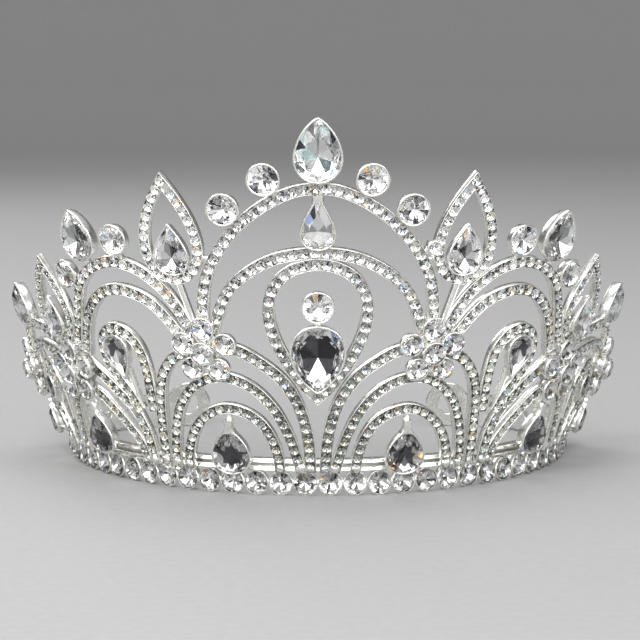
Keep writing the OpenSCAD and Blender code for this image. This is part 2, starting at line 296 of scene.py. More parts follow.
LEG_4 = [[84.8, 27], [88, 25.2], [89.8, 20.8], [90.6, 13.8], [90.8, FOOT]]
CENTRE_LOOP = (0, 59.6, 25.8, 8.2, 0.8)
LEAVES = [(23.4, 55.4, 79.8, 4.5, 1), (54, 36.8, 56.8, 4.5, 1)]
print("height of the big arch:", BIG_ARCH[-1][1])

# %% [markdown]
# ## What each row is like
# A row has a width, a depth behind the face of the wall, and stones of one size and pitch. Where two rows
# cross, the lower one sits a little deeper, so that their metal never lies in the same plane, which would
# flicker in a render. Little light gets in low down, where the rows crowd together, so the floor under the
# stones has a deep painted shade in those rows and a lighter painted shade in the others. Rows with two
# sides are mirrored to the left.

# %% Rows of small stones
SILVER, DEEP_PAINTED_SHADE, LIGHT_PAINTED_SHADE = 0, 1, 2
LEVEL = 0.15
WIDE, SLIM = 3.0, 2.7
BIG_BEAD, MIDDLE_BEAD, LITTLE_BEAD = (2.68, 2.74), (2.58, 2.6), (2.32, 2.42)


def row(path, width=WIDE, sink=0.0, closed=False, sides=2, bead=BIG_BEAD, seat=LIGHT_PAINTED_SHADE):
    return {"path": path, "width": width, "sink": sink, "closed": closed, "sides": sides,
            "bead": bead, "seat": seat}


rows = [
    row(curve(mirrored(BIG_ARCH)), sides=1),
    *[row(curve(p)) for p in (PANEL_ARCH_2, PANEL_ARCH_3)],
    *[row(drop_loop(*leaf), SLIM, -LEVEL, True, bead=MIDDLE_BEAD) for leaf in LEAVES],
    row(curve(mirrored(INNER_ARCH)), sink=LEVEL, sides=1),
    row(drop_loop(*CENTRE_LOOP), sink=2 * LEVEL, closed=True, sides=1),
    row(curve(LOW_ARCH_1), SLIM, bead=LITTLE_BEAD, seat=DEEP_PAINTED_SHADE),
    *[row(curve(p), SLIM, LEVEL, bead=LITTLE_BEAD, seat=DEEP_PAINTED_SHADE)
      for p in (LOWER_ARCH_1, LOWER_ARCH_2, LOWER_ARCH_3)],
    *[row(curve(p), sink=LEVEL) for p in (LOW_PANEL_ARCH_2, LOW_PANEL_ARCH_3)],
    *[row(curve(p), sink=2 * LEVEL, bead=MIDDLE_BEAD, seat=DEEP_PAINTED_SHADE)
      for p in (LOOP_2, LOOP_3, FRONT_LEG, LEG_2B, LEG_3B)],
    *[row(curve(p), sink=3 * LEVEL, bead=MIDDLE_BEAD, seat=DEEP_PAINTED_SHADE) for p in (LEG_2A, LEG_3A, LEG_4)],
]
print("rows of small stones:", sum(r["sides"] for r in rows))

# %% [markdown]
# ## Helpers for the finishes
# Each finish starts as the Principled shader, and noise then varies its colour and polish. A painted
# picture could do that, but noise is drawn in space, so the mesh needs no unwrapping. Most noise lies near
# a half, and the helpers stretch that part to the levels or shades that are asked for.

# %% Helpers for the finishes
NOISE_RANGE, SHADE_STOPS = (0.3, 0.7), (0.35, 0.65)


def new_finish(name):
    finish = bpy.data.materials.new(name)
    finish.use_nodes = True
    nodes, links = finish.node_tree.nodes, finish.node_tree.links
    return finish, nodes, links, nodes["Principled BSDF"]


def noise(nodes, links, scale, detail=2.0):
    place = nodes.new("ShaderNodeTexCoord")
    texture = nodes.new("ShaderNodeTexNoise")
    texture.inputs["Scale"].default_value = scale
    texture.inputs["Detail"].default_value = detail
    links.new(place.outputs["Object"], texture.inputs["Vector"])
    return texture.outputs["Fac"]


def levels(nodes, links, scale, low, high):
    ramp = nodes.new("ShaderNodeMapRange")
    for socket, value in zip(("From Min", "From Max", "To Min", "To Max"), (*NOISE_RANGE, low, high)):
        ramp.inputs[socket].default_value = value
    links.new(noise(nodes, links, scale), ramp.inputs["Value"])
    return ramp.outputs["Result"]


def shades(nodes, links, scale, dark, light):
    ramp = nodes.new("ShaderNodeValToRGB")
    for stop, position, colour in zip(ramp.color_ramp.elements, SHADE_STOPS, (dark, light)):
        stop.position = position
        stop.color = (*colour, 1)
    links.new(noise(nodes, links, scale), ramp.inputs["Fac"])
    return ramp.outputs["Color"]


print("noise between", *NOISE_RANGE, "is stretched")

# %% [markdown]
# ## Silver plate
# The metal is a casting with a bright plated skin. One grey with a low roughness would do from far off, but
# what makes it look real is unevenness: the plate is a shade warmer in some places, its polish varies, and
# casting leaves very shallow ripples. The seats under the stones are never polished, and get two plates
# painted darker as shade, a deep one and a lighter one.

# %% Finishes of the metal
COLOUR_SCALE, POLISH_SCALE, RIPPLE_SCALE = 260, 900, 700
RIPPLE_STRENGTH, RIPPLE_HEIGHT, RIPPLE_DETAIL = 0.5, 0.00008, 3


def plated(name, dark, light, smooth, rough):
    finish, nodes, links, shader = new_finish(name)
    shader.inputs["Metallic"].default_value = 1
    links.new(shades(nodes, links, COLOUR_SCALE, dark, light), shader.inputs["Base Color"])
    links.new(levels(nodes, links, POLISH_SCALE, smooth, rough), shader.inputs["Roughness"])
    bump = nodes.new("ShaderNodeBump")
    bump.inputs["Strength"].default_value = RIPPLE_STRENGTH
    bump.inputs["Distance"].default_value = RIPPLE_HEIGHT
    links.new(noise(nodes, links, RIPPLE_SCALE, RIPPLE_DETAIL), bump.inputs["Height"])
    links.new(bump.outputs["Normal"], shader.inputs["Normal"])
    return finish


silver = plated("silver_plate", (0.84, 0.83, 0.79), (0.95, 0.95, 0.93), 0.15, 0.34)
# Painted shade: darker copies of the silver for the seats, the cup hollows, the flower plates and the band's
# groove.
painted_shade_seat_metal = plated("silver_with_painted_shade_in_the_seats", (0.36, 0.355, 0.32), (0.56, 0.55, 0.51), 0.25, 0.45)
lighter_painted_shade_seat_metal = plated("silver_with_lighter_painted_shade_in_the_high_seats", (0.58, 0.575, 0.54), (0.78, 0.77, 0.74), 0.25, 0.45)
print("plates:", silver.name, painted_shade_seat_metal.name, lighter_painted_shade_seat_metal.name)

# %% [markdown]
# ## Crystal
# A cut stone here is clear glass with a mirror foil behind it. Real glass needs many light bounces before it
# sparkles, so the two jobs are split: the front facets are true glass that bends what is seen through them,
# and the back facets are the foil itself, small mirrors, each painted with a glint of light or dark that
# stands in for what it reflects. That keeps the sparkle sharp.

# %% Finishes of the stones
glass, nodes, links, shader = new_finish("clear_crystal")
shader.inputs["IOR"].default_value = 1.45
shader.inputs["Transmission Weight"].default_value = 1
links.new(shades(nodes, links, 300, (0.96, 0.97, 0.98), (1, 1, 1)), shader.inputs["Base Color"])
links.new(levels(nodes, links, 500, 0.0, 0.03), shader.inputs["Roughness"])

foil, nodes, links, shader = new_finish("mirror_foil")
shader.inputs["Metallic"].default_value = 1
# Painted glints: the foil's base colour is each facet's painted light or dark.
painted_glint_of_face = nodes.new("ShaderNodeVertexColor")
painted_glint_of_face.layer_name = "painted_glint"
links.new(painted_glint_of_face.outputs["Color"], shader.inputs["Base Color"])
links.new(levels(nodes, links, 800, 0.03, 0.12), shader.inputs["Roughness"])
print("finishes of a stone:", glass.name, foil.name)

# %% [markdown]
# ## Sweeping a profile
# Channels, rails and stems are a closed profile carried along a path, and a cup is an outline that grows and
# shrinks on its way back. A curve object with a bevel twists where the wall leans, so rings of corners are
# joined one to the next. Some of the faces are seats, and get a plate painted darker as shade.

# %% Join rings of corners


def sweep(tray, rings, closed=False, seat_sides=(), seat_rings=(), seat=DEEP_PAINTED_SHADE):
    size, count = len(rings[0]), len(rings)
    faces, finish = [], []
    for i in range(count if closed else count - 1):
        j = (i + 1) % count
        for k in range(size):
            n = (k + 1) % size
            faces.append((i * size + k, j * size + k, j * size + n, i * size + n))
            finish.append(seat if k in seat_sides or i in seat_rings else SILVER)
    if not closed:
        faces += [tuple(range(size))[::-1], tuple((count - 1) * size + k for k in range(size))]
        finish += [SILVER, seat if seat_rings else SILVER]
    tray.add([corner for ring in rings for corner in ring], faces, finish)


sample = Tray()
sweep(sample, [circle(1, 4, 0), circle(1, 4, 1)])
print("a box swept from two rings has", len(sample.faces), "faces")

# %% [markdown]
# ## Cross-sections along a row
# On the real crown each row is a strip that bends with the wall. A cross-section stands at every cut of the
# row, square to the wall. At the tip of a leaf or loop it turns along the mitre, as a joiner would cut it,
# and cuts close to the tip are left out, or they would overlap.

# %% Cross-sections along a row
CHANNEL_CUT, LONGEST_MITRE = 1.3, 2


def rings_along(cuts, profile, sink=0.0, closed=False, reach=0.5, tip_clear=2.4):
    spots = [wall_point(a, h) for a, h in cuts]
    last = len(cuts) - 1
    steps = [unit(spots[i + 1] - spots[i]) for i in range(last)]
    rings = []
    for i in range(last if closed else last + 1):
        from_tip = min(np.linalg.norm(spots[i] - spots[0]), np.linalg.norm(spots[i] - spots[last]))
        if closed and i and from_tip < tip_clear:
            continue
        before = steps[i - 1] if i or closed else steps[0]
        after = steps[i] if i < last else before
        ahead = unit(before + after)
        out = wall_axes(*cuts[i])[2]
        side = unit(np.cross(out, ahead)) * min(LONGEST_MITRE, 1 / before.dot(ahead))
        stretch = 0 if closed else {0: -reach, last: reach}.get(i, 0)
        p = spots[i] + stretch * ahead
        rings.append([p + side * x + out * (y - sink) for x, y in profile])
    return rings


def mirror_rings(rings):
    return [[corner * (-1, 1, 1) for corner in ring] for ring in rings]


print("cross-sections of the big arch:", len(even_cuts(rows[0]["path"], CHANNEL_CUT)))

# %% [markdown]
# ## Channels
# A channel is a thin strip of metal bent into a U, with two fine rails at the front and a floor for the
# stones. A groove could be cut with a boolean, but a profile that has it from the start stays clean.

# %% Channels of the tracery
RAIL, FLOOR, EDGE, DEPTH = 0.22, 0.55, 0.08, 1.8
# The floor of the groove and its two sides get a seat plate painted darker as shade.
SEAT_SIDES = (4, 5, 6)


def channel_profile(width):
    w, r = width / 2, width / 2 - RAIL
    return [(-w, -DEPTH + EDGE), (-w, -EDGE), (-w + EDGE, 0), (-r - EDGE, 0), (-r, -EDGE), (-r, -FLOOR),
            (r, -FLOOR), (r, -EDGE), (r + EDGE, 0), (w - EDGE, 0), (w, -EDGE), (w, -DEPTH + EDGE),
            (w - EDGE, -DEPTH), (-w + EDGE, -DEPTH)]


tracery = Tray()
for r in rows:
    cuts = even_cuts(r["path"], CHANNEL_CUT)
    rings = rings_along(cuts, channel_profile(r["width"]), r["sink"], r["closed"])
    for half in (rings, mirror_rings(rings))[:r["sides"]]:
        sweep(tracery, half, r["closed"], SEAT_SIDES, seat=r["seat"])
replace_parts(tracery.pour("tracery", [silver, painted_shade_seat_metal, lighter_painted_shade_seat_metal], "silver", 50), "frame")

# %% [markdown]
# ## Main stones
# Every main stone has its own size, from the big drop at the front to the little drops near the ends. They
# could be set by hand, but a table can be checked against a drawing: name, angle, height, width, length,
# how pointed it is, and how far it is turned. A flower has a number, an angle and a height.

# %% Table of the main stones
POINT, SHARP, SLENDER = 0.6, 1.1, 1.6
FRONT_STONES = [
    ("top_drop", 0, 87.6, 11.2, 15.4, POINT, 0),
    ("hanging_drop", 0, 70.2, 8, 13.2, SLENDER, 0),
    ("centre_round", 0, 49.2, 7.4, 7.4, 0, 0),
    ("centre_drop", 0, 36.0, 13, 17, POINT, 180),
    ("arch_bead", 18, 63.8, 2.8, 2.8, 0, 0),
]
SIDE_STONES = [
    ("arch_round_upper", 7.8, 80.6, 7.4, 7.4, 0, 0),
    ("arch_round_lower", 14.1, 73.2, 7.4, 7.4, 0, 0),
    ("leaf_drop_1", 23.3, 63, 8.7, 12.6, SHARP, 0),
    ("lower_drop_1", 17.1, 11.5, 9.6, 11.4, POINT, 0),
    ("panel_round_front", 33.6, 64.7, 7.4, 7.4, 0, 0),
    ("panel_drop_2", 41.3, 65.2, 10, 13, POINT, -9),
    ("panel_round_side", 46.4, 54.9, 6.8, 6.8, 0, 0),
    ("loop_drop_2", 38.1, 34.4, 7.2, 11.2, SHARP, 170),
    ("leaf_drop_2", 54.3, 42.8, 7.4, 10.8, SHARP, 0),
    ("lower_drop_2", 49.2, 12.4, 9, 10.8, POINT, -5),
    ("panel_drop_3", 68.5, 43.8, 9, 11.6, POINT, -8),
    ("loop_drop_3", 66.4, 21.6, 4.6, 7, POINT, 172),
    ("lower_drop_3", 77.9, 10.4, 5.6, 7.6, POINT, -4),
]
FLOWERS = [(1, 19.6, 37.9), (2, 51.4, 29), (3, 80.4, 24.6)]
PROUD = 0.6

main_stones = []
for name, a, h, width, length, point, turn in FRONT_STONES:
    main_stones.append((name, stand_on_wall(a, h, turn, PROUD), width, length, point))
for name, a, h, width, length, point, turn in SIDE_STONES:
    for side, stand in both_sides(stand_on_wall(a, h, turn, PROUD)).items():
        main_stones.append((f"{name}_{side}", stand, width, length, point))
print("main stones:", len(main_stones))

# %% [markdown]
# ## Rings of a stone
# A brilliant cut has a flat table on top, star and kite facets round it, a girdle at its widest, and long
# kites that run down to a point at the back. A squeezed sphere would look like a pebble, so the facets are
# drawn from rings of corners. Most rings are the outline made smaller. In the other kind each corner lies
# where two tangents of the outline meet, because only then are the kites flat.

# %% Rings of a stone
NUDGE = 0.001


def stone_ring(width, length, point, count, shift, share, z):
    middle = widest_at(length, point)
    spots = [drop_spot((k + shift) * math.tau / count, point) for k in range(count)]
    return [(width / 2 * x * share, middle + (length / 2 * y - middle) * share, z) for x, y in spots]


def meeting_ring(width, length, point, count, shift, share, z):
    middle = widest_at(length, point)
    ring = []
    for k in range(count):
        near = [np.array(drop_spot((k + shift + i) * math.tau / count + nudge, point))
                for i in (0, 1) for nudge in (-NUDGE, NUDGE)]
        first, second = near[1] - near[0], near[3] - near[2]
        start, end = (near[0] + near[1]) / 2, (near[2] + near[3]) / 2
        reach = np.linalg.solve(np.column_stack([first, -second]), end - start)[0]
        x, y = (start + reach * first) * (width / 2, length / 2)
        ring.append((x * share, middle + (y - middle) * share, z))
    return ring


print("a ring of a drop starts at its tip:", stone_ring(10, 13, POINT, 8, 0, 1, 0)[0])

# %% [markdown]
# ## Cutting a stone
# From front to back the rings are the table, the stars, both edges of the girdle, and two at the back. The
# measures of a cut are shares of the stone's width or outline, so that one cut serves stones of all sizes.
# In one stone the two kites at the tip are made one plane, to shine as one, and heel moves its back point
# that share of its length towards the tip. Cutting a block with planes would give the same, more slowly.

# %% Corners of a brilliant cut
KITES_ROUND, STAR_SHARE, GIRDLE = 8, 0.8, 0.012
DROP_CUT = {"table": 0.64, "crown": 0.19, "pavilion": 0.18, "low": 0.52, "step": 0.15, "shift": 0}
ROUND_CUT = {"table": 0.52, "crown": 0.17, "pavilion": 0.18, "low": 0.3, "step": 0.15, "shift": 0.5}


def cut_corners(width, length, point, table, crown, pavilion, low, step, shift,
                one_tip_facet=False, heel=0.0):
    n, top, deep, girdle = KITES_ROUND, width * crown, width * pavilion, width * GIRDLE
    flat, edge = math.cos(math.pi / n), low + step
    star_z = top - (STAR_SHARE * flat - table) / (1 - table) * (top - girdle)
    low_z = -deep + low * flat * (deep - girdle)
    shape = width, length, point
    corners = (stone_ring(*shape, n, shift, table, top)
               + meeting_ring(*shape, n, shift, STAR_SHARE * flat, star_z)
               + stone_ring(*shape, 2 * n, 2 * shift, 1, girdle)
               + stone_ring(*shape, 2 * n, 2 * shift, 1, -girdle)
               + meeting_ring(*shape, n, shift, low * flat, low_z)
               + stone_ring(*shape, n, shift, edge, -deep + edge * (deep - girdle))
               + [(0, widest_at(length, point), -deep)])
    low_ring, next_ring = 6 * n, 7 * n
    if one_tip_facet:
        middle = corners[-1][1]
        slope = (corners[low_ring][2] + deep) / (corners[low_ring][1] - middle)
        for i in (next_ring, next_ring + n - 1, low_ring + n - 1):
            x, y, _ = corners[i]
            corners[i] = (x, y, -deep + slope * (y - middle))
    lean = heel * length / (deep - girdle)
    corners[low_ring:] = [(x, y - lean * (z + girdle), z) for x, y, z in corners[low_ring:]]
    return corners


print("rings of a drop:", len(cut_corners(10, 13, POINT, **DROP_CUT)), "corners")

# %% [markdown]
# The faces of a cut are the same for every stone, whatever its size, so they are listed once. In front are
# the table, the stars, the kites and the girdle. Behind are five for each kite, and the kite is the first.

# %% Faces of a brilliant cut
BACK_FACETS = 5


def cut_faces(n):
    star, girdle, edge, low, side, tip = n, 2 * n, 4 * n, 6 * n, 7 * n, 8 * n
    front, back = [tuple(range(n))], []
    for k in range(n):
        after, before = (k + 1) % n, (k - 1) % n
        even, odd, last = 2 * k, 2 * k + 1, (2 * k + 2) % (2 * n)
        front += [(k, star + k, after), (k, star + before, girdle + even, star + k),
                  (star + k, girdle + even, girdle + odd), (star + k, girdle + odd, girdle + last),
                  (girdle + even, edge + even, edge + odd, girdle + odd),
                  (girdle + odd, edge + odd, edge + last, girdle + last)]
        back += [(tip, low + before, side + k, low + k), (side + k, low + before, edge + even),
                 (side + k, edge + even, low + k), (low + k, edge + even, edge + odd),
                 (low + k, edge + odd, edge + last)]
    return front, back


FRONT_FACES, BACK_FACES = cut_faces(KITES_ROUND)
print("faces of a brilliant:", len(FRONT_FACES), "in front and", len(BACK_FACES), "behind")

# %% [markdown]
# ## Painted glints of the foil
# A mirror foil catches the lamps facet by facet: most facets are white, some are dark, and a few flash a
# colour. Light traced through real glass would sort this out alone, but with much noise. So these glints and
# dark facets are painted into the foil's colour instead, a seeded dice roll picks each one, and every run
# gives the same stones.

# %% Painted glints of the foil
dice = np.random.default_rng(11)
GLASS, FOIL = 0, 1
# Painted highlights and reflections that a foil facet can be given.
GLINTS = {"white": (0.98, 0.98, 0.97), "light": (0.82, 0.82, 0.81), "grey": (0.42, 0.43, 0.43),
          "dark": (0.09, 0.09, 0.10), "orange": (1.0, 0.66, 0.32), "blue": (0.5, 0.66, 1.0),
          "aqua": (0.72, 0.93, 0.92), "pink": (0.95, 0.70, 0.86), "black": (0.02, 0.02, 0.025)}
CHANCES = {"white": 0.52, "light": 0.26, "grey": 0.11, "dark": 0.07, "orange": 0.011, "blue": 0.010,
           "aqua": 0.010, "pink": 0.009}
DIMMEST_KITE = 0.88


def painted_foil_glints(count):
    return [GLINTS[word] for word in dice.choice(list(CHANCES), size=count, p=list(CHANCES.values()))]


def lay_stone(tray, stand, corners, front, back, painted_glints):
    tray.add(on(stand, corners), front + back, [GLASS] * len(front) + [FOIL] * len(back),
             [PLAIN] * len(front) + painted_glints)


def add_stone(tray, stand, width, length, point, kites=(), shade=1, **cut):
    painted_glints = [tuple(shade * v for v in painted_glint) for painted_glint in painted_foil_glints(len(BACK_FACES))]
    for k, word in enumerate(kites):
        painted_glints[BACK_FACETS * k] = tuple(np.array(GLINTS[word]) * dice.uniform(DIMMEST_KITE, 1))
    corners = cut_corners(width, length, point, **cut)
    lay_stone(tray, stand, corners, FRONT_FACES, BACK_FACES, painted_glints)


print("chances of the tints add up to", round(sum(CHANCES.values()), 3))

# %% [markdown]
# ## Setting the main stones
# The eight kites of a large stone are seen one by one, so their painted glints aren't rolled but listed, from
# the tip round to the right. Most drops are painted grey above and bright below, as painted shade and light,
# because the lower facets face the lamp over the camera. The middle drop hangs tip down and is painted dark
# but for the bright wedge at its tip. The facets round the kites are rolled, and dimmed with painted shade
# where the stone is a dark one.

# %% Main stones
KITES = {
    "top_drop": "grey light white aqua white grey aqua light",
    "hanging_drop": "light light grey white white white grey light",
    "centre_drop": "white dark black dark black black dark white",
    "leaf_drop": "grey grey light white white white light dark",
    "panel_drop": "grey grey light white white white dark dark",
    "loop_drop": "white light dark dark dark dark dark light",
    "lower_drop": "dark " * KITES_ROUND,
    "centre_round": "white light white grey light grey white light",
    "arch_round": "white grey white light grey white light grey",
    "panel_round": "grey white light white grey white light white",
}
# Painted shade for the rolled facets round the kites of dark stones.
RING_SHADE = {"lower_drop": 0.62, "loop_drop": 0.75, "centre_drop": 0.9}
OWN_CUT = {
    "centre_drop": {"table": 0.7, "pavilion": 0.17, "low": 0.6, "step": 0.12, "shift": 0.5,
                    "one_tip_facet": True, "heel": 0.09},
    "hanging_drop": {"pavilion": 0.155, "low": 0.58},
    "lower_drop": {"low": 0.42},
}


def by_family(name, table, other):
    return next((table[key] for key in table if name.startswith(key)), other)


for name, stand, width, length, point in main_stones:
    stone = Tray()
    cut = {**(DROP_CUT if point else ROUND_CUT), **by_family(name, OWN_CUT, {})}
    add_stone(stone, stand, width, length, point, by_family(name, KITES, "").split(),
              by_family(name, RING_SHADE, 1), **cut)
    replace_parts(stone.pour("crystal_" + name, [glass, foil], "crystal"), name)

# %% [markdown]
# ## Cups of the main stones
# Each main stone lies in a cup of sheet metal with a thin rim that is pressed over the stone's edge. The cup
# goes back two or three millimetres behind a large stone, and its straight bright wall is what shows from the
# side. A solidified rim could look the same from in front, but rings of the stone's own outline, each a
# little larger or smaller, round the rim and close the back in one go.

# %% Cups
RIM, SLIM_RIM, LIP = 0.45, 0.3, 0.3
CUP_CUTS, ROUND_CUTS, LITTLE_CUTS = 40, 28, 20
SPARE_DEPTH, LITTLE_STONE = 0.9, 4
# The inner rings of a cup get the seat plate, painted darker as shade.
INSIDE_RINGS = (7, 8)


def grown(points, amount):
    p = np.array(points, float)
    along = np.roll(p, -1, axis=0) - np.roll(p, 1, axis=0)
    normal = np.stack([along[:, 1], -along[:, 0]], axis=1)
    normal /= np.linalg.norm(normal, axis=1, keepdims=True)
    inward = np.sum(normal * (p - p.mean(axis=0)), axis=1).sum() < 0
    return p + (-amount if inward else amount) * normal


def add_cup(tray, stand, width, length, point, depth, rim=SLIM_RIM, cuts=ROUND_CUTS, back_share=0.9):
    outline = np.array(stone_ring(width, length, point, cuts, 0, 1, 0))[:, :2]
    middle = np.array([0, widest_at(length, point)])
    share_growth_height = [
        (back_share, rim - 0.25, -depth), (back_share, rim, -depth + 0.25), (1, rim, -0.35),
        (1, rim, LIP - 0.25), (1, rim - 0.05, LIP - 0.1), (1, rim - 0.17, LIP), (1, rim - 0.31, LIP - 0.01),
        (1, -0.06, LIP - 0.13), (1, -0.02, -0.3), (0.4, 0, -depth + 0.4)]
    rings = []
    for share, growth, z in share_growth_height:
        ring = middle + (grown(outline, growth) - middle) * share
        rings.append(on(stand, [(x, y, z) for x, y in ring]))
    sweep(tray, rings, seat_rings=INSIDE_RINGS)


cups = Tray()
for name, stand, width, length, point in main_stones:
    deep = width * by_family(name, OWN_CUT, {}).get("pavilion", DROP_CUT["pavilion"])
    cuts = CUP_CUTS if width > LITTLE_STONE else LITTLE_CUTS
    add_cup(cups, stand, width, length, point, deep + SPARE_DEPTH, RIM, cuts)
cups.pour("stone_cups", [silver, painted_shade_seat_metal], "silver", 50)

# %% [markdown]
# ## Flowers
# Where the arches meet there is a flower: five round stones in cups round a sixth that stands higher. A
# plain plate behind holds them together. One flower could be copied six times, but then all six would glint
# alike, so each is built on its own with the next rolls of the dice.

# %% Flowers at the joints of the arches
PETALS, PETAL_WIDTH, PETAL_REACH, PETAL_LIFT, HEART_LIFT = 5, 5.6, 5.8, 1.1, 2.9
PETAL_TURNS = [math.radians(90 + k * 360 / PETALS) for k in range(PETALS)]
PETAL_DEPTH, STONE_IN_CUP, CUP_OVER_PLATE, FLOWER_SHADE = 1.8, 0.45, 0.3, 0.84
PLATE_RINGS = [(8.6, -2.8), (9.2, -2.5), (9.2, 0.2), (8.6, 0.5), (2, 0.8)]
# STAR lists the painted glints of a round stone's kites, turned at random for each stone.
STAR = ["white", "grey", "white", "light", "white", "dark", "white", "light"]


def petal_stand(stand, t):
    aside = PETAL_REACH * (stand[1] * math.cos(t) + stand[2] * math.sin(t))
    return stand[0] + aside + stand[3] * PETAL_LIFT, *stand[1:]


def add_round(stones, cups, place, depth):
    add_stone(stones, lifted(place, STONE_IN_CUP), PETAL_WIDTH, PETAL_WIDTH, 0, dice.permutation(STAR),
              FLOWER_SHADE, **ROUND_CUT)
    add_cup(cups, lifted(place, CUP_OVER_PLATE), PETAL_WIDTH, PETAL_WIDTH, 0, depth)


flower_cups = Tray()
for number, angle, height in FLOWERS:
    for side, stand in both_sides(stand_on_wall(angle, height)).items():
        stones = Tray()
        for t in PETAL_TURNS:
            add_round(stones, flower_cups, petal_stand(stand, t), PETAL_DEPTH)
        add_round(stones, flower_cups, lifted(stand, HEART_LIFT), HEART_LIFT)
        plate = [on(stand, stone_ring(d, d, 0, ROUND_CUTS, 0, 1, z)) for d, z in PLATE_RINGS]
        # The plate behind gets the seat plate all over, painted dark as shade between the petals.
        sweep(flower_cups, plate, seat_sides=range(ROUND_CUTS))
        name = f"flower_stones_{number}_{side}"
        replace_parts(stones.pour("crystal_" + name, [glass, foil], "crystal"), name)
flower_cups.pour("flower_cups", [silver, painted_shade_seat_metal], "silver", 50)

# %% [markdown]
# ## Where small stones are left out
# A small stone has no room where a main stone or a flower covers its channel. Blender could cut one mesh
# from the other, but it is enough to ask whether the middle of the small stone lies inside an outline, seen
# along that stone's stand.

# %% What covers a channel
OVERLAP, NEAR, PLATE_RADIUS, PETAL_CLEAR = 0.5, 5, 4.6, 2.9
OUTLINE_CUTS = 32


def seen_from(stand, spot):
    return [(spot - stand[0]).dot(axis) for axis in stand[1:]]


def under_main_stone(spot):
    for _, stand, width, length, point in main_stones:
        x, y, z = seen_from(stand, spot)
        if abs(z) > NEAR or max(abs(x), abs(y)) > length:
            continue
        ring = np.array(stone_ring(width, length, point, OUTLINE_CUTS, 0, 1, 0))[:, :2]
        ring = grown(ring, RIM - OVERLAP)
        edge, to_spot = np.roll(ring, -1, axis=0) - ring, (x, y) - ring
        side = edge[:, 0] * to_spot[:, 1] - edge[:, 1] * to_spot[:, 0]
        if (side < 0).all() or (side > 0).all():
            return True
    return False


def under_flower(spot):
    spot = spot * (1 if spot[0] > 0 else -1, 1, 1)
    for _, angle, height in FLOWERS:
        x, y, z = seen_from(stand_on_wall(angle, height), spot)
        petals = [(PETAL_REACH * math.cos(t), PETAL_REACH * math.sin(t)) for t in PETAL_TURNS]
        near_petal = any(math.hypot(x - px, y - py) < PETAL_CLEAR - OVERLAP for px, py in petals)
        if abs(z) <= NEAR and (near_petal or math.hypot(x, y) < PLATE_RADIUS):
            return True
    return False


print("top of the front leg is under a flower:", under_flower(wall_point(*FRONT_LEG[0])))

# %% [markdown]
# ## The cut of a small stone
# The tiny stones have a simple cut: a table, a belt of triangles down to the edge, and a shallow back. That
# is 33 faces, which is enough for a glint at this size. Low in front, other metal stands all round and little
# light gets in, so the foil there is darker, and it grows brighter upwards and towards the sides.

# %% Small stone and its shade
SMALL_SIDES = 8
SMALL_TABLE, SMALL_TOP, SMALL_BACK, SMALL_BACK_DEPTH, SMALL_POINT = 0.62, 0.3, 0.5, 0.152, 0.3
LOW_FRONT, HIGH_FRONT = np.array([0.6, 0.61, 0.58]), np.array([0.78, 0.78, 0.775])
LOW_SIDE, HIGH_SIDE = np.array([0.87, 0.88, 0.835]), np.array([1.0, 1.0, 0.985])
ASIDE_FROM, ASIDE_OVER, ABOVE_FROM, ABOVE_OVER = 6, 22, 22, 35


def small_stone(radius):
    n, half = SMALL_SIDES, math.pi / SMALL_SIDES
    corners = (circle(SMALL_TABLE * radius, n, SMALL_TOP * radius, half) + circle(radius, n, 0)
               + circle(SMALL_BACK * radius, n, -SMALL_BACK_DEPTH * radius, half)
               + [(0, 0, -SMALL_POINT * radius)])
    front, back = [tuple(range(n))], []
    for k in range(n):
        after = (k + 1) % n
        front += [(k, n + k, n + after), (k, n + after, after)]
        back += [(3 * n, 2 * n + k, n + after, 2 * n + after), (2 * n + k, n + k, n + after)]
    return corners, front, back


def shade_at(a, h):
    aside = np.clip((abs(a) - ASIDE_FROM) / ASIDE_OVER, 0, 1)
    above = np.clip((h - ABOVE_FROM) / ABOVE_OVER, 0, 1)
    low = LOW_FRONT + (LOW_SIDE - LOW_FRONT) * aside
    high = HIGH_FRONT + (HIGH_SIDE - HIGH_FRONT) * aside
    return low + (high - low) * above


print("shade low in front:", shade_at(0, 10), "and high up:", shade_at(0, 80))

# %% [markdown]
# ## Filling the channels
# Some six hundred and sixty tiny stones fill the channels, edge to edge, at an even pitch along each row.
# Geometry nodes could set them along a curve, but where two rows run into one another the second row has
# to stop, as it does on the real crown, and that is easier to test for one stone at a time.

# %% Small stones in the channels
CROWDED, SMALL_LIFT, MOST_TURN = 0.82, 0.02, 45
taken, small_stones = [], {"front": Tray(), "right": Tray(), "left": Tray()}


def has_room(spot, radius):
    if under_main_stone(spot) or under_flower(spot):
        return False
    return all(np.linalg.norm(spot - other) >= CROWDED * (radius + size) for other, size in taken)


for r in rows:
    radius, pitch = r["bead"][0] / 2, r["bead"][1]
    cuts = even_cuts(r["path"], pitch / 2)
    shape = small_stone(radius)
    for a, h in cuts[0:-1:2] if r["closed"] else cuts[1::2]:
        spot = wall_point(a, h)
        if not has_room(spot, radius):
            continue
        taken.append((spot, radius))
        stand = stand_on_wall(a, h, dice.uniform(0, MOST_TURN), -r["sink"] + SMALL_LIFT)
        shade = shade_at(a, h)
        for side, place in (both_sides(stand) if r["sides"] == 2 else {"front": stand}).items():
            painted_glints = [tuple(shade * painted_glint) for painted_glint in painted_foil_glints(len(shape[2]))]
            lay_stone(small_stones[side], place, *shape, painted_glints)
for side, tray in small_stones.items():
    tray.pour(f"small_stones_{side}", [glass, foil], "crystal")
print("places of small stones:", len(taken))

# %% [markdown]
# ## Round the band
# The band bends round the head in a wide front and tighter ends. Its parts could be bent by a modifier, but
# a place on it is easily written as the run along the band from the middle, how far out, and how high.
# Two arcs that meet smoothly give the rest.

